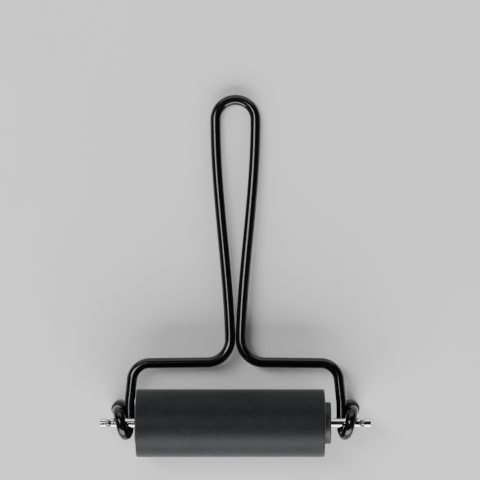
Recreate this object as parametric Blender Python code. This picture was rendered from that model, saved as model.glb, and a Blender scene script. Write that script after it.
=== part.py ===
"""Rubber brayer: a bent wire frame with a hanging loop, a rubber roller and two capped feet.

The tool is drawn flat first, in millimetres: X runs along the axle, Y from the axle to the
hanging loop, Z out of the frame's flat plane towards the roller's face, with the axle's centre
at zero. It is then parked on its back: tilted about the axle until the loop's end and the soles
of both feet stand on the plane Z = 0, with the roller held clear of it.
"""

from math import asin, atan2, cos, hypot, pi, radians, sin, tan

import bmesh
import bpy
from mathutils import Matrix, Vector

MM = 0.001

# Roller: the sleeve is 2 1/4 inches long and sits off centre on its core.
SLEEVE_R = 10.3
SLEEVE_BORE_R = 6.5
SLEEVE_X = (-30.1, 27.05)
SLEEVE_EDGE = 0.45
CORE_R = 6.35
CORE_BORE_R = 4.85
CORE_X = (-30.45, 28.95)
CORE_EDGE = 0.4
BUSH_R = 4.7
BUSH_BORE_R = 1.58
BUSH_LENGTH = 6.0
BUSH_RECESS = 0.25
BUSH_EDGE = 0.3

# Axle: a plain rod with a pinched ear near each end that keeps it in the frame's eyes.
AXLE_R = 1.5
AXLE_HALF = 41.15
AXLE_CHAMFER = 0.3
EAR_X = 38.5
EAR_HALF = 0.35
EAR_RUN = 0.35
EAR_WIDE_R = 2.3
EAR_THIN_R = 1.1

# Wire frame, as the centreline of one bent wire; the other half is its mirror image.
WIRE_R = 1.6
LOOP_R = 6.15
LOOP_TOP = 99.1
NECK_HALF = 1.65
NECK_TOP = 27.0
NECK_SLOPE = 0.035
ARM_INNER_Y = 18.6
ARM_OUTER_Y = 18.25
SHOULDER_X = 31.0
KNEE_Y = 6.0
INNER_BEND_R = 7.0
OUTER_BEND_R = 5.5
KNEE_BEND_R = 20.0

# Eyes: the wire goes once round the axle, from behind, under it, over its front and on top.
EYE_R = 3.6
EYE_INNER_X = 32.3
EYE_OUTER_X = 35.7
EYE_START_SLOPE = 0.33
EYE_END_SLOPE = 0.6

# Feet: the wire's tails, seen in the parked pose, with a cap on each.
AXLE_HEIGHT = 12.9
TAIL_LEAN = radians(3.0)
TAIL_TOE_IN = 0.03
TAIL_END_Z = 2.0
CAP_R = 2.45
CAP_BORE_R = 1.78
CAP_HEIGHT = 6.9
CAP_SOLE = 1.8
CAP_EDGE = 0.45

# Facets
SLEEVE_SIDES = 48
CORE_SIDES = 36
AXLE_SIDES = 20
CAP_SIDES = 24
WIRE_BEVEL_RESOLUTION = 4
BEND_STEP = radians(12.0)
LEG_STEPS = 14

# The tilt puts the loop's wire on the floor: its lowest line is one wire radius under the apex.
TILT = asin((AXLE_HEIGHT - WIRE_R) / hypot(LOOP_TOP, EYE_R)) - atan2(EYE_R, LOOP_TOP)
PARKED = Matrix.Rotation(-TILT, 4, "X")
LOOP_END_Y = LOOP_TOP * cos(TILT) - EYE_R * sin(TILT) + WIRE_R
AXLE_Y = -(LOOP_END_Y - SLEEVE_R) / 2
AXLE_CENTRE = Vector((0.0, AXLE_Y, AXLE_HEIGHT)) * MM


def clear_scene():
    for thing in list(bpy.data.objects):
        bpy.data.objects.remove(thing, do_unlink=True)


def material(name, colour, roughness, metallic=0.0):
    made = bpy.data.materials.new(name)
    made.use_nodes = True
    shader = made.node_tree.nodes["Principled BSDF"]
    shader.inputs["Base Color"].default_value = (*colour, 1.0)
    shader.inputs["Roughness"].default_value = roughness
    shader.inputs["Metallic"].default_value = metallic
    return made


def add_object(name, data, finish, location, parent=None):
    """Puts data in the scene; location is counted from the parent, in metres."""
    made = bpy.data.objects.new(name, data)
    bpy.context.collection.objects.link(made)
    made.location = location
    made.parent = parent
    if finish:
        data.materials.append(finish)
    return made


def lofted(name, stations, sides, closed=False):
    """Rings along X, in mm, each (x, radius) or (x, radius in Y, radius in Z), joined in order.

    A closed run joins its last ring to its first, which makes a tube; an open one gets flat ends.
    """
    bm = bmesh.new()
    rings = []
    for station in stations:
        x, radius_y, radius_z = station if len(station) == 3 else (*station, station[1])
        turn = [2 * pi * k / sides for k in range(sides)]
        rings.append([bm.verts.new(Vector((x, radius_y * cos(a), radius_z * sin(a))) * MM) for a in turn])
    pairs = list(zip(rings, rings[1:]))
    if closed:
        pairs.append((rings[-1], rings[0]))
    else:
        bm.faces.new(rings[0])
        bm.faces.new(rings[-1])
    for first, second in pairs:
        for k in range(sides):
            after = (k + 1) % sides
            bm.faces.new((first[k], second[k], second[after], first[after]))
    bmesh.ops.recalc_face_normals(bm, faces=bm.faces)
    mesh = bpy.data.meshes.new(name)
    bm.to_mesh(mesh)
    bm.free()
    mesh.shade_smooth()
    mesh.set_sharp_from_angle(angle=radians(35))
    return mesh


def tube(name, x_from, x_to, radius, bore_radius, edge, sides):
    """A straight tube along X with its outer edges broken by edge."""
    stations = [
        (x_from, bore_radius),
        (x_from, radius - edge),
        (x_from + edge, radius),
        (x_to - edge, radius),
        (x_to, radius - edge),
        (x_to, bore_radius),
    ]
    return lofted(name, stations, sides, closed=True)


def ease(t, start, end):
    """Runs from 0 to 1 as t does, leaving with slope start and arriving with slope end."""
    return start * (t**3 - 2 * t**2 + t) + (3 * t**2 - 2 * t**3) + end * (t**3 - t**2)


def filleted(before, corner, after, radius):
    """Points of the arc that rounds a corner of a flat path."""
    to_before = (before - corner).normalized()
    to_after = (after - corner).normalized()
    half_angle = to_before.angle(to_after) / 2
    centre = corner + (to_before + to_after).normalized() * radius / sin(half_angle)
    start = corner + to_before * radius / tan(half_angle) - centre
    end = corner + to_after * radius / tan(half_angle) - centre
    steps = max(2, round((pi - 2 * half_angle) / BEND_STEP))
    return [centre + start.slerp(end, k / steps) * radius for k in range(steps + 1)]


def flat_half():
    """The right half of the flat frame: loop, handle leg, arm and side leg, apex first."""
    steps = round(pi / 2 / BEND_STEP)
    loop_y = LOOP_TOP - LOOP_R
    turn = [pi / 2 * k / steps for k in range(steps + 1)]
    points = [Vector((LOOP_R * sin(a), loop_y + LOOP_R * cos(a))) for a in turn]

    run = loop_y - NECK_TOP
    spread = LOOP_R - NECK_HALF
    for k in range(1, LEG_STEPS + 1):
        t = 1 - k / LEG_STEPS
        x = NECK_HALF + spread * ease(t, NECK_SLOPE * run / spread, 0.0)
        points.append(Vector((x, NECK_TOP + run * t)))

    inner_corner = Vector((NECK_HALF, ARM_INNER_Y))
    outer_corner = Vector((SHOULDER_X, ARM_OUTER_Y))
    knee = Vector((EYE_INNER_X, KNEE_Y))
    eye_start = Vector((EYE_INNER_X, 0.0))
    points += filleted(points[-1], inner_corner, outer_corner, INNER_BEND_R)
    points += filleted(inner_corner, outer_corner, knee, OUTER_BEND_R)
    points += filleted(outer_corner, knee, eye_start, KNEE_BEND_R)
    return [Vector((x, y, -EYE_R)) for x, y in points]


def eye_turn():
    """The turn round the axle. It stops early so that the tail leaves with its lean."""
    sweep = 3 * pi / 2 - TILT - TAIL_LEAN
    steps = round(sweep / BEND_STEP)
    points = []
    for k in range(steps + 1):
        t = k / steps
        angle = -pi / 2 - sweep * t
        x = EYE_INNER_X + (EYE_OUTER_X - EYE_INNER_X) * ease(t, EYE_START_SLOPE, EYE_END_SLOPE)
        points.append(Vector((x, EYE_R * cos(angle), EYE_R * sin(angle))))
    return points


def tail_at(tail_top, height):
    """The point of the parked right tail's line at a height above the floor, from the axle."""
    drop = AXLE_HEIGHT + tail_top.z - height
    return tail_top + Vector((-TAIL_TOE_IN, tan(TAIL_LEAN), -1.0)) * drop


def make_wire(points):
    half = [p * MM for p in points]
    mirrored = [Vector((-p.x, p.y, p.z)) for p in half[:0:-1]]
    route = mirrored + half
    curve = bpy.data.curves.new("wire_frame", "CURVE")
    curve.dimensions = "3D"
    curve.bevel_depth = WIRE_R * MM
    curve.bevel_resolution = WIRE_BEVEL_RESOLUTION
    curve.use_fill_caps = True
    spline = curve.splines.new("POLY")
    spline.points.add(len(route) - 1)
    for point, place in zip(spline.points, route):
        point.co = (*place, 1.0)
    finish = material("black_enamel", (0.012, 0.012, 0.013), 0.22)
    add_object("wire_frame", curve, finish, AXLE_CENTRE)


def make_cap(name, side, sole, finish):
    """A cap that leans with its tail while its sole stays flat on the floor."""
    stations = [
        (0.0, CAP_R - CAP_EDGE),
        (CAP_EDGE, CAP_R),
        (CAP_HEIGHT - CAP_EDGE, CAP_R),
        (CAP_HEIGHT, CAP_R - CAP_EDGE),
        (CAP_HEIGHT, CAP_BORE_R),
        (CAP_SOLE, CAP_BORE_R),
    ]
    mesh = lofted(name, stations, CAP_SIDES)
    mesh.transform(Matrix.Rotation(-pi / 2, 4, "Y"))
    lean = Matrix.Identity(4)
    lean[0][2] = side * TAIL_TOE_IN
    lean[1][2] = -tan(TAIL_LEAN)
    mesh.transform(lean)
    place = AXLE_CENTRE + Vector((side * sole.x, sole.y, sole.z)) * MM
    add_object(name, mesh, finish, place)


def make_frame():
    points = [PARKED @ p for p in flat_half() + eye_turn()]
    tail_top = points[-1]
    make_wire(points + [tail_at(tail_top, TAIL_END_Z)])
    vinyl = material("cap_vinyl", (0.035, 0.032, 0.031), 0.6)
    sole = tail_at(tail_top, 0.0)
    make_cap("left_foot_cap", -1, sole, vinyl)
    make_cap("right_foot_cap", 1, sole, vinyl)


def make_axle(axis):
    half = [
        (EAR_X - EAR_HALF - EAR_RUN, AXLE_R),
        (EAR_X - EAR_HALF, EAR_THIN_R, EAR_WIDE_R),
        (EAR_X + EAR_HALF, EAR_THIN_R, EAR_WIDE_R),
        (EAR_X + EAR_HALF + EAR_RUN, AXLE_R),
        (AXLE_HALF - AXLE_CHAMFER, AXLE_R),
        (AXLE_HALF, AXLE_R - AXLE_CHAMFER),
    ]
    mirrored = [(-x, *radii) for x, *radii in reversed(half)]
    mesh = lofted("axle", mirrored + half, AXLE_SIDES)
    add_object("axle", mesh, material("plated_steel", (0.75, 0.75, 0.73), 0.2, 1.0), (0, 0, 0), axis)


def make_roller(axis):
    core_finish = material("core_plastic", (0.03, 0.03, 0.032), 0.5)
    bush_finish = material("bush_plastic", (0.045, 0.045, 0.048), 0.4)
    rubber = material("roller_rubber", (0.036, 0.036, 0.039), 0.65)

    sleeve = tube("rubber_sleeve", *SLEEVE_X, SLEEVE_R, SLEEVE_BORE_R, SLEEVE_EDGE, SLEEVE_SIDES)
    add_object("rubber_sleeve", sleeve, rubber, (0, 0, 0), axis)
    core = tube("roller_core", *CORE_X, CORE_R, CORE_BORE_R, CORE_EDGE, CORE_SIDES)
    add_object("roller_core", core, core_finish, (0, 0, 0), axis)

    bush = tube("bush", 0.0, BUSH_LENGTH, BUSH_R, BUSH_BORE_R, BUSH_EDGE, AXLE_SIDES)
    left_x = CORE_X[0] + BUSH_RECESS
    right_x = CORE_X[1] - BUSH_RECESS - BUSH_LENGTH
    for name, x in (("left_bush", left_x), ("right_bush", right_x)):
        add_object(name, bush.copy(), bush_finish, (x * MM, 0, 0), axis)
    bpy.data.meshes.remove(bush)


def main():
    clear_scene()
    make_frame()
    axis = add_object("axle_axis", None, None, AXLE_CENTRE)
    make_axle(axis)
    make_roller(axis)


main()
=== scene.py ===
"""Looks of the rubber brayer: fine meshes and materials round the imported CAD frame.

Lengths are in millimetres up to the meshes, which are in metres. The tool lies parked on its back.
Every piece but the foot caps has its origin at the axle's centre, where object coordinates start.
"""

from math import asin, atan2, ceil, cos, hypot, pi, radians, sin, tan

import bmesh
import bpy
from mathutils import Matrix, Vector


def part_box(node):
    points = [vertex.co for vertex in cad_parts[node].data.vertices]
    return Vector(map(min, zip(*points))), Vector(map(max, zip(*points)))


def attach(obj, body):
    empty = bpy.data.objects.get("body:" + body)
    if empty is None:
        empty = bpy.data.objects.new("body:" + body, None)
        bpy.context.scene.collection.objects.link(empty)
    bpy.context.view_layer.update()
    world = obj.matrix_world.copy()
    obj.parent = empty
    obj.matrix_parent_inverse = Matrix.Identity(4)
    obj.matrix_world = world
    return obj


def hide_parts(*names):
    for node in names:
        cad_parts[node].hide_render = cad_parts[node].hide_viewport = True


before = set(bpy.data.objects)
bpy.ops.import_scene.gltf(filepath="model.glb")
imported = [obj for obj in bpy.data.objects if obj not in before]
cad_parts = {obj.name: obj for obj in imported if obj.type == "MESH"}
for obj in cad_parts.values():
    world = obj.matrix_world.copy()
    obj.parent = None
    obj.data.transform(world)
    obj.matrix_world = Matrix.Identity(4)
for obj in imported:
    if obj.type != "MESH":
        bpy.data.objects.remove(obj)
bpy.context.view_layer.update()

MM = 0.001


def span(node, axis):
    """Lowest and highest coordinate of a CAD node along an axis (0, 1 or 2), in millimetres."""
    low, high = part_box(node)
    return low[axis] / MM, high[axis] / MM


def radius_of(node):
    low, high = span(node, 1)
    return (high - low) / 2


def middle_of(node):
    low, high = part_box(node)
    return (low + high) / 2


# Read from the frame
AXLE_CENTRE = middle_of("axle")
AXLE_HEIGHT = AXLE_CENTRE.z / MM
AXLE_HALF = span("axle", 0)[1]
SLEEVE_X = span("rubber_sleeve", 0)
SLEEVE_R = radius_of("rubber_sleeve")
CORE_X = span("roller_core", 0)
CORE_R = radius_of("roller_core")
CAP_HEIGHT = span("left_foot_cap", 2)[1]

# The plugs are drawn a little fuller than in the frame, close to the core's bore
BUSH_FULLNESS = 0.1
BUSH_R = radius_of("left_bush") + BUSH_FULLNESS

# Bores and edges of the roller's pieces
SLEEVE_BORE_R = 6.42
SLEEVE_EDGE = 0.6
SLEEVE_BORE_EDGE = 0.15
CORE_BORE_R = 4.85
CORE_EDGE = 0.35
CORE_BORE_EDGE = 0.25
BUSH_BORE_R = 1.56
BUSH_BORE_EDGE = 0.15
BUSH_EDGE = 0.25
BUSH_HUB_R = 2.5
BUSH_RIM_R = 3.95
BUSH_POCKET_DEPTH = 1.4
BUSH_WEBS = 6

# Axle and its pinched ears
AXLE_R = 1.5
AXLE_EDGE = 0.35
EAR_X = 38.5
EAR_HALF = 0.3
EAR_RUN = 0.45
EAR_WIDE_R = 2.3
EAR_THIN_R = 1.08
# Painted shade at each pinched ear: where the dark band sits, how much of it is full, and how dark it is
PINCH_SHADE_INSET = 0.1
PINCH_SHADE_FULL_SHARE = 0.4
PINCH_SHADE_AMOUNT = 0.85

# Wire: the same bends as in the frame's solid, in finer steps
WIRE_R = 1.6
LOOP_R = 6.15
LOOP_TOP = 99.1
NECK_HALF = 1.65
NECK_TOP = 27.0
NECK_SLOPE = 0.035
ARM_INNER_Y = 18.6
ARM_OUTER_Y = 18.25
SHOULDER_X = 31.0
KNEE_Y = 6.0
INNER_BEND_R = 7.0
OUTER_BEND_R = 5.5
KNEE_BEND_R = 20.0
EYE_R = 3.6
EYE_INNER_X = 32.3
EYE_OUTER_X = 35.7
EYE_START_SLOPE = 0.33
EYE_END_SLOPE = 0.6

# Feet
TAIL_LEAN = radians(3.0)
TAIL_TOE_IN = 0.03
TAIL_END_Z = 2.0
CAP_WALL_R = 2.32
CAP_LIP_R = 2.44
CAP_LIP_HEIGHT = 1.1
CAP_BORE_R = 1.64
CAP_SOLE = 1.7
CAP_SOLE_EDGE = 0.6
CAP_SOLE_TIP_R = 0.4
CAP_FLARE = 0.35
CAP_FLARE_BLEND = 0.3
CAP_LIP_FOOT_BLEND = 0.12
CAP_LIP_EDGE = 0.4
CAP_BORE_EDGE = 0.15

# Fineness of the meshes
ROLLER_SIDES = 128
AXLE_SIDES = 64
BUSH_SIDES_PER_WEB = 12
WEB_SIDES = 2
FACE_TOLERANCE = 0.01
CAP_SIDES = 64
WIRE_SIDES = 28
BEND_STEP = radians(5.0)
LEG_STEPS = 36
EDGE_STEPS = 5
EAR_STEPS = 8
GUARD = 0.04

# Stage, in metres: the floor, and what the camera sees, counted from the axle's centre
FLOOR_HALF = 1.6
FLOOR_SQUARES = 8
VIEW_CENTRE = (0.0014, 0.0555)
VIEW_WIDTH = 0.1455
CAMERA_DISTANCE = 0.9

TILT = asin((AXLE_HEIGHT - WIRE_R) / hypot(LOOP_TOP, EYE_R)) - atan2(EYE_R, LOOP_TOP)
PARKED = Matrix.Rotation(-TILT, 4, "X")


# ---------------------------------------------------------------- shapes


def ease(t, start, end):
    """Runs from 0 to 1 as t does, leaving with slope start and arriving with slope end."""
    return start * (t**3 - 2 * t**2 + t) + (3 * t**2 - 2 * t**3) + end * (t**3 - t**2)


def filleted(before, corner, after, radius, steps=None):
    """Points of the arc that rounds a corner of a flat path."""
    to_before = (before - corner).normalized()
    to_after = (after - corner).normalized()
    half_angle = to_before.angle(to_after) / 2
    centre = corner + (to_before + to_after).normalized() * radius / sin(half_angle)
    start = corner + to_before * radius / tan(half_angle) - centre
    end = corner + to_after * radius / tan(half_angle) - centre
    if steps is None:
        steps = max(2, ceil((pi - 2 * half_angle) / BEND_STEP))
    return [centre + start.slerp(end, k / steps) * radius for k in range(steps + 1)]


def rounded_outline(corners, closed):
    """Outline through (x, radius, fillet) corners, each rounded by its own fillet.

    A guard point just past each end of a fillet keeps the long flats beside it flat in shading.
    """
    places = [Vector((x, r)) for x, r, _ in corners]
    count = len(corners)
    outline = []
    for k, (x, r, fillet) in enumerate(corners):
        at_end = not closed and k in (0, count - 1)
        if fillet and not at_end:
            corner, before, after = places[k], places[k - 1], places[(k + 1) % count]
            arc = filleted(before, corner, after, fillet, EDGE_STEPS)
            guard_in = arc[0] + (before - corner).normalized() * GUARD
            guard_out = arc[-1] + (after - corner).normalized() * GUARD
            outline += [tuple(p) for p in (guard_in, *arc, guard_out)]
        else:
            outline.append((x, r))
    return outline


def ring(bm, x, radius_y, radius_z, sides):
    turn = [2 * pi * k / sides for k in range(sides)]
    return [bm.verts.new(Vector((x, radius_y * cos(a), radius_z * sin(a))) * MM) for a in turn]


def skin(bm, rings, closed):
    """Quads between neighbouring rings; a closed run joins end to start, an open one is capped."""
    pairs = list(zip(rings, rings[1:]))
    if closed:
        pairs.append((rings[-1], rings[0]))
    else:
        bm.faces.new(rings[0])
        bm.faces.new(rings[-1])
    for first, second in pairs:
        for k in range(len(first)):
            after = (k + 1) % len(first)
            bm.faces.new((first[k], second[k], second[after], first[after]))
    bmesh.ops.recalc_face_normals(bm, faces=bm.faces)


def turned(outline, sides, closed=True):
    """A shape turned about X from its (x, radius) outline."""
    bm = bmesh.new()
    skin(bm, [ring(bm, x, r, r, sides) for x, r in outline], closed)
    return bm


def mesh_from(bm, name, sharp_angle=radians(40)):
    mesh = bpy.data.meshes.new(name)
    bm.to_mesh(mesh)
    bm.free()
    mesh.shade_smooth()
    mesh.set_sharp_from_angle(angle=sharp_angle)
    return mesh


def add_piece(name, mesh, body, node, finish, location=AXLE_CENTRE):
    """Shows mesh in place of a CAD node and lets it move with that node's body."""
    piece = bpy.data.objects.new(name, mesh)
    bpy.context.scene.collection.objects.link(piece)
    piece.location = location
    piece.data.materials.append(finish)
    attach(piece, body)
    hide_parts(node)
    return piece


# ---------------------------------------------------------------- wire


def flat_half():
    """The right half of the flat frame: loop, handle leg, arm and side leg, apex first."""
    steps = ceil(pi / 2 / BEND_STEP)
    loop_y = LOOP_TOP - LOOP_R
    turn = [pi / 2 * k / steps for k in range(steps + 1)]
    points = [Vector((LOOP_R * sin(a), loop_y + LOOP_R * cos(a))) for a in turn]

    run = loop_y - NECK_TOP
    spread = LOOP_R - NECK_HALF
    for k in range(1, LEG_STEPS + 1):
        t = 1 - k / LEG_STEPS
        x = NECK_HALF + spread * ease(t, NECK_SLOPE * run / spread, 0.0)
        points.append(Vector((x, NECK_TOP + run * t)))

    inner_corner = Vector((NECK_HALF, ARM_INNER_Y))
    outer_corner = Vector((SHOULDER_X, ARM_OUTER_Y))
    knee = Vector((EYE_INNER_X, KNEE_Y))
    eye_start = Vector((EYE_INNER_X, 0.0))
    points += filleted(points[-1], inner_corner, outer_corner, INNER_BEND_R)
    points += filleted(inner_corner, outer_corner, knee, OUTER_BEND_R)
    points += filleted(outer_corner, knee, eye_start, KNEE_BEND_R)
    return [Vector((x, y, -EYE_R)) for x, y in points]


def eye_turn():
    """The turn round the axle, which stops early so that the tail leaves with its lean."""
    sweep = 3 * pi / 2 - TILT - TAIL_LEAN
    steps = ceil(sweep / BEND_STEP)
    points = []
    for k in range(steps + 1):
        t = k / steps
        angle = -pi / 2 - sweep * t
        x = EYE_INNER_X + (EYE_OUTER_X - EYE_INNER_X) * ease(t, EYE_START_SLOPE, EYE_END_SLOPE)
        points.append(Vector((x, EYE_R * cos(angle), EYE_R * sin(angle))))
    return points


def tail_at(tail_top, height):
    """The point of the right tail's line at a height above the floor, from the axle."""
    drop = AXLE_HEIGHT + tail_top.z - height
    return tail_top + Vector((-TAIL_TOE_IN, tan(TAIL_LEAN), -1.0)) * drop


def swept(route, radius, sides):
    """A round bar along a route, its section carried along without twist."""
    bm = bmesh.new()
    rings = []
    normal = Vector((0.0, 0.0, 1.0))
    for k, place in enumerate(route):
        before = route[max(k - 1, 0)]
        after = route[min(k + 1, len(route) - 1)]
        along = (after - before).normalized()
        normal = (normal - along * normal.dot(along)).normalized()
        across = along.cross(normal)
        section = []
        for j in range(sides):
            a = 2 * pi * j / sides
            offset = (normal * cos(a) + across * sin(a)) * radius
            section.append(bm.verts.new((place + offset) * MM))
        rings.append(section)
    skin(bm, rings, closed=False)
    return bm


def wire_half():
    """The parked right half of the wire, from the loop's apex to the tail's end."""
    points = [PARKED @ p for p in flat_half() + eye_turn()]
    return points + [tail_at(points[-1], TAIL_END_Z)]


def make_wire(finish):
    half = wire_half()
    mirrored = [Vector((-p.x, p.y, p.z)) for p in half[:0:-1]]
    mesh = mesh_from(swept(mirrored + half, WIRE_R, WIRE_SIDES), "wire")
    add_piece("wire", mesh, "frame", "wire_frame", finish)


def make_caps(finish):
    """Dipped caps with a rolled lip; they lean with the tails and stand flat on their soles."""
    wall_top = CAP_HEIGHT - CAP_LIP_HEIGHT
    corners = [
        (0.0, CAP_SOLE_TIP_R, 0.0),
        (0.0, CAP_WALL_R, CAP_SOLE_EDGE),
        (wall_top - CAP_FLARE, CAP_WALL_R, CAP_FLARE_BLEND),
        (wall_top, CAP_LIP_R, CAP_LIP_FOOT_BLEND),
        (CAP_HEIGHT, CAP_LIP_R, CAP_LIP_EDGE),
        (CAP_HEIGHT, CAP_BORE_R, CAP_BORE_EDGE),
        (CAP_SOLE, CAP_BORE_R, 0.0),
    ]
    outline = rounded_outline(corners, closed=False)
    tail_top = wire_half()[-2]
    sole = tail_at(tail_top, 0.0)
    for side, name in ((-1, "left"), (1, "right")):
        mesh = mesh_from(turned(outline, CAP_SIDES, closed=False), name + "_cap")
        mesh.transform(Matrix.Rotation(-pi / 2, 4, "Y"))
        lean = Matrix.Identity(4)
        lean[0][2] = side * TAIL_TOE_IN
        lean[1][2] = -tan(TAIL_LEAN)
        mesh.transform(lean)
        place = AXLE_CENTRE + Vector((side * sole.x, sole.y, sole.z)) * MM
        add_piece(name + "_cap", mesh, "frame", name + "_foot_cap", finish, place)


# ---------------------------------------------------------------- roller and axle


def ear_stations():
    """(x, thin, wide) from an ear's outer guard ring over its crest to its inner one."""
    ramp = [k / EAR_STEPS for k in range(EAR_STEPS + 1)]
    reach = EAR_HALF + EAR_RUN + GUARD
    places = [(reach, 0.0)]
    places += [(EAR_HALF + EAR_RUN * (1 - t), t) for t in ramp]
    places += [(-x, t) for x, t in reversed(places)]
    stations = []
    for x, t in places:
        pinch = ease(t, 0.0, 0.0)
        thin = AXLE_R + (EAR_THIN_R - AXLE_R) * pinch
        wide = AXLE_R + (EAR_WIDE_R - AXLE_R) * pinch
        stations.append((EAR_X + x, thin, wide))
    return stations


def make_axle(finish):
    """A rod whose ears are pinched from both sides: thin along Y, wide along Z."""
    corners = [(AXLE_HALF, 0.0, 0.0), (AXLE_HALF, AXLE_R, AXLE_EDGE), (0.0, AXLE_R, 0.0)]
    tip = rounded_outline(corners, closed=False)[1:-1]
    stations = [(x, r, r) for x, r in tip] + ear_stations()
    mirrored = [(-x, thin, wide) for x, thin, wide in reversed(stations)]
    bm = bmesh.new()
    skin(bm, [ring(bm, *station, AXLE_SIDES) for station in stations + mirrored], closed=False)
    add_piece("axle_rod", mesh_from(bm, "axle_rod"), "axle", "axle", finish)


def tube_outline(x_range, radius, bore, edge, bore_edge):
    low, high = x_range
    return rounded_outline([
        (low, bore, bore_edge),
        (low, radius, edge),
        (high, radius, edge),
        (high, bore, bore_edge),
    ], closed=True)


def make_sleeve(finish):
    outline = tube_outline(SLEEVE_X, SLEEVE_R, SLEEVE_BORE_R, SLEEVE_EDGE, SLEEVE_BORE_EDGE)
    mesh = mesh_from(turned(outline, ROLLER_SIDES), "sleeve")
    add_piece("sleeve", mesh, "roller", "rubber_sleeve", finish)


def make_core(finish):
    outline = tube_outline(CORE_X, CORE_R, CORE_BORE_R, CORE_EDGE, CORE_BORE_EDGE)
    mesh = mesh_from(turned(outline, ROLLER_SIDES), "core")
    add_piece("core", mesh, "roller", "roller_core", finish)


def make_bush(name, node, outward, finish):
    """A moulded plug: a hub and a rim joined by webs, with pockets open to the outside."""
    low, high = span(node, 0)
    face, back = (high, low) if outward > 0 else (low, high)
    outline = rounded_outline([
        (back, BUSH_BORE_R, BUSH_BORE_EDGE),
        (face, BUSH_BORE_R, BUSH_BORE_EDGE),
        (face, BUSH_HUB_R, 0.0),
        (face, BUSH_RIM_R, 0.0),
        (face, BUSH_R, BUSH_EDGE),
        (back, BUSH_R, BUSH_EDGE),
    ], closed=True)
    sides = BUSH_WEBS * BUSH_SIDES_PER_WEB
    bm = turned(outline, sides)
    bm.normal_update()
    pockets = []
    for flat in bm.faces:
        centre = flat.calc_center_median() / MM
        on_face = abs(centre.x - face) < FACE_TOLERANCE
        past_hub = BUSH_HUB_R < hypot(centre.y, centre.z) < BUSH_RIM_R
        past_web = atan2(centre.z, centre.y) % (2 * pi / BUSH_WEBS) > WEB_SIDES * 2 * pi / sides
        if on_face and past_hub and past_web:
            pockets.append(flat)
    sunk = bmesh.ops.extrude_face_region(bm, geom=pockets)
    floor = [v for v in sunk["geom"] if isinstance(v, bmesh.types.BMVert)]
    bmesh.ops.translate(bm, verts=floor, vec=(-outward * BUSH_POCKET_DEPTH * MM, 0, 0))
    bmesh.ops.delete(bm, geom=pockets, context="FACES")
    bmesh.ops.recalc_face_normals(bm, faces=bm.faces)
    add_piece(name, mesh_from(bm, name), "roller", node, finish)


# ---------------------------------------------------------------- materials


class Finish:
    """A Principled material whose detail comes from noise in object coordinates."""

    def __init__(self, name, **sockets):
        self.material = bpy.data.materials.new(name)
        self.material.use_nodes = True
        tree = self.material.node_tree
        self.nodes = tree.nodes
        self.links = tree.links
        self.shader = self.nodes["Principled BSDF"]
        for socket, value in sockets.items():
            self.shader.inputs[socket.replace("_", " ")].default_value = value
        self.coordinates = self.nodes.new("ShaderNodeTexCoord").outputs["Object"]
        self.last_bump = None

    def noise(self, per_metre, detail=3.0, roughness=0.55):
        """Noise with per_metre features along each axis; one number serves all three."""
        scale = per_metre if isinstance(per_metre, tuple) else (per_metre,) * 3
        mapping = self.nodes.new("ShaderNodeMapping")
        mapping.inputs["Scale"].default_value = scale
        self.links.new(self.coordinates, mapping.inputs["Vector"])
        texture = self.nodes.new("ShaderNodeTexNoise")
        texture.inputs["Scale"].default_value = 1.0
        texture.inputs["Detail"].default_value = detail
        texture.inputs["Roughness"].default_value = roughness
        self.links.new(mapping.outputs["Vector"], texture.inputs["Vector"])
        return texture.outputs["Fac"]

    def ranged(self, value, low_in, high_in, low, high):
        node = self.nodes.new("ShaderNodeMapRange")
        for name, number in zip(("From Min", "From Max", "To Min", "To Max"), (low_in, high_in, low, high)):
            node.inputs[name].default_value = number
        self.links.new(value, node.inputs["Value"])
        return node.outputs["Result"]

    def maths(self, operation, value, number=0.0):
        """A sum on a socket's value and, where the operation takes two, a number."""
        node = self.nodes.new("ShaderNodeMath")
        node.operation = operation
        node.inputs[1].default_value = number
        self.links.new(value, node.inputs[0])
        return node.outputs["Value"]

    def along_x(self):
        """Distance from the tool's middle along the axle, in metres."""
        split = self.nodes.new("ShaderNodeSeparateXYZ")
        self.links.new(self.coordinates, split.inputs["Vector"])
        return self.maths("ABSOLUTE", split.outputs["X"])

    def mixed(self, factor, first, second):
        """Two colours, or a colour socket and a colour, mixed by factor."""
        node = self.nodes.new("ShaderNodeMix")
        node.data_type = "RGBA"
        self.links.new(factor, node.inputs["Factor"])
        for socket, colour in (("A", first), ("B", second)):
            slot = [s for s in node.inputs if s.name == socket and s.type == "RGBA"][0]
            if isinstance(colour, tuple):
                slot.default_value = (*colour, 1.0)
            else:
                self.links.new(colour, slot)
        return [s for s in node.outputs if s.type == "RGBA"][0]

    def colour(self, socket):
        self.links.new(socket, self.shader.inputs["Base Color"])

    def roughness(self, socket):
        self.links.new(socket, self.shader.inputs["Roughness"])

    def bump(self, height, depth_mm):
        """Adds relief of a depth in millimetres on top of the relief so far."""
        node = self.nodes.new("ShaderNodeBump")
        node.inputs["Strength"].default_value = 1.0
        node.inputs["Distance"].default_value = depth_mm * MM
        self.links.new(height, node.inputs["Height"])
        if self.last_bump:
            self.links.new(self.last_bump, node.inputs["Normal"])
        self.last_bump = node.outputs["Normal"]
        self.links.new(self.last_bump, self.shader.inputs["Normal"])


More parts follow.
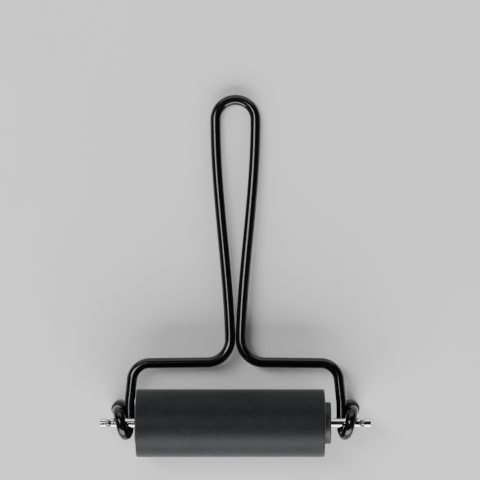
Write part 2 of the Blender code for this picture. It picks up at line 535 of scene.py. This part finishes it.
def rubber():
    """Ground charcoal rubber: faint mottling, fine grinding rings, a grain and a little dust."""
    made = Finish("roller_rubber", IOR=1.45, Specular_IOR_Level=0.25, Sheen_Weight=0.25, Sheen_Roughness=0.4)
    mottle = made.ranged(made.noise(240, 4.0), 0.4, 0.6, 0.0, 1.0)
    base = made.mixed(mottle, (0.0048, 0.0058, 0.0066), (0.0076, 0.0088, 0.0098))
    rings = made.ranged(made.noise((2600, 60, 60), 3.0), 0.35, 0.7, 0.0, 0.3)
    base = made.mixed(rings, base, (0.0134, 0.0146, 0.0157))
    dust = made.ranged(made.noise(2300, 2.0), 0.64, 0.76, 0.0, 0.5)
    made.colour(made.mixed(dust, base, (0.06, 0.06, 0.061)))
    made.roughness(made.ranged(made.noise(900, 3.0), 0.3, 0.7, 0.44, 0.54))
    made.bump(made.noise((5200, 180, 180), 2.0), 0.01)
    made.bump(made.noise(5600, 2.0), 0.016)
    return made.material


def enamel():
    """Gloss black enamel with a slight orange peel."""
    made = Finish("wire_enamel", IOR=1.45)
    made.colour(made.mixed(made.noise(500, 3.0), (0.0035, 0.0035, 0.0038), (0.0055, 0.0055, 0.0058)))
    made.roughness(made.ranged(made.noise(600, 3.0), 0.3, 0.7, 0.1, 0.16))
    made.bump(made.noise(700, 2.0), 0.0025)
    return made.material


def plated_steel():
    """Bright plated rod, drawn lengthwise, with painted shade darkening it where it was pinched."""
    made = Finish("axle_steel", Metallic=1.0)
    draw = made.noise((120, 3500, 3500), 2.0)
    base = made.mixed(made.ranged(draw, 0.3, 0.7, 0.0, 1.0), (0.7, 0.7, 0.69), (0.8, 0.8, 0.785))
    # A dark band painted round each pinched ear: painted shade standing in for the shade in the crimp
    offset = made.maths("SUBTRACT", made.along_x(), (EAR_X - PINCH_SHADE_INSET) * MM)
    reach = (EAR_HALF + EAR_RUN) * MM
    from_ear = made.maths("ABSOLUTE", offset)
    pinch_shade = made.ranged(from_ear, reach, PINCH_SHADE_FULL_SHARE * reach, 0.0, PINCH_SHADE_AMOUNT)
    made.colour(made.mixed(pinch_shade, base, (0.05, 0.048, 0.046)))
    made.roughness(made.ranged(draw, 0.3, 0.7, 0.09, 0.15))
    made.bump(draw, 0.0004)
    return made.material


def vinyl():
    """Soft black dipped vinyl of the foot caps."""
    made = Finish("foot_vinyl", IOR=1.48)
    made.colour(made.mixed(made.noise(420, 3.0), (0.026, 0.0257, 0.0255), (0.039, 0.0385, 0.038)))
    made.roughness(made.ranged(made.noise(1500, 3.0), 0.3, 0.7, 0.38, 0.52))
    made.bump(made.noise(700, 2.0), 0.03)
    return made.material


def moulded(name, dark, light, rough_low, rough_high):
    """Satin moulded plastic with a fine spark texture."""
    made = Finish(name, IOR=1.46)
    made.colour(made.mixed(made.noise(700, 3.0), dark, light))
    made.roughness(made.ranged(made.noise(2200, 2.0), 0.3, 0.7, rough_low, rough_high))
    made.bump(made.noise(6500, 2.0), 0.008)
    return made.material


# ---------------------------------------------------------------- stage, lights, camera


def make_floor():
    bm = bmesh.new()
    bmesh.ops.create_grid(bm, x_segments=FLOOR_SQUARES, y_segments=FLOOR_SQUARES, size=FLOOR_HALF)
    mesh = bpy.data.meshes.new("floor")
    bm.to_mesh(mesh)
    bm.free()
    floor = bpy.data.objects.new("floor", mesh)
    bpy.context.scene.collection.objects.link(floor)
    paper = Finish("pale_floor", Roughness=0.85)
    paper.colour(paper.mixed(paper.noise(30, 3.0), (0.87, 0.87, 0.865), (0.91, 0.91, 0.905)))
    mesh.materials.append(paper.material)


def add_light(name, place, size_x, size_y, power):
    """A rectangular soft light at place, in metres, that faces the middle of the tool."""
    lamp = bpy.data.lights.new(name, "AREA")
    lamp.shape = "RECTANGLE"
    lamp.size = size_x
    lamp.size_y = size_y
    lamp.energy = power
    holder = bpy.data.objects.new(name, lamp)
    bpy.context.scene.collection.objects.link(holder)
    holder.location = place
    holder.rotation_euler = (-Vector(place)).to_track_quat("-Z", "Y").to_euler()


def make_world():
    """A dim room, brighter towards the horizon."""
    world = bpy.data.worlds.new("room")
    bpy.context.scene.world = world
    world.use_nodes = True
    nodes, links = world.node_tree.nodes, world.node_tree.links
    coordinates = nodes.new("ShaderNodeTexCoord")
    split = nodes.new("ShaderNodeSeparateXYZ")
    links.new(coordinates.outputs["Generated"], split.inputs["Vector"])
    height = nodes.new("ShaderNodeMapRange")
    height.inputs["From Min"].default_value = 0.0
    height.inputs["From Max"].default_value = 0.7
    height.inputs["To Min"].default_value = 0.42
    height.inputs["To Max"].default_value = 0.18
    links.new(split.outputs["Z"], height.inputs["Value"])
    links.new(height.outputs["Result"], nodes["Background"].inputs["Strength"])


def make_camera():
    """Straight down on the parked tool through a long lens, the hanging loop at the top."""
    lens_data = bpy.data.cameras.new("camera")
    lens_data.sensor_width = 36.0
    lens_data.lens = lens_data.sensor_width * CAMERA_DISTANCE / VIEW_WIDTH
    lens_data.clip_start = 0.01
    lens_data.clip_end = 10.0
    camera = bpy.data.objects.new("camera", lens_data)
    bpy.context.scene.collection.objects.link(camera)
    camera.location = AXLE_CENTRE + Vector((*VIEW_CENTRE, CAMERA_DISTANCE))
    bpy.context.scene.camera = camera


def main():
    make_wire(enamel())
    make_caps(vinyl())
    make_axle(plated_steel())
    make_sleeve(rubber())
    make_core(moulded("core_plastic", (0.018, 0.018, 0.019), (0.026, 0.026, 0.028), 0.4, 0.52))
    bush_finish = moulded("bush_plastic", (0.03, 0.03, 0.032), (0.042, 0.042, 0.045), 0.36, 0.46)
    make_bush("left_plug", "left_bush", -1, bush_finish)
    make_bush("right_plug", "right_bush", 1, bush_finish)

    make_floor()
    make_world()
    add_light("front_softbox", (0.0, -1.05, 0.5), 2.0, 0.75, 34.0)
    add_light("back_softbox", (0.0, 0.9, 0.38), 1.4, 0.6, 4.5)
    add_light("line_softbox", (-0.34, 0.2, 0.87), 0.22, 0.55, 4.2)
    make_camera()


main()
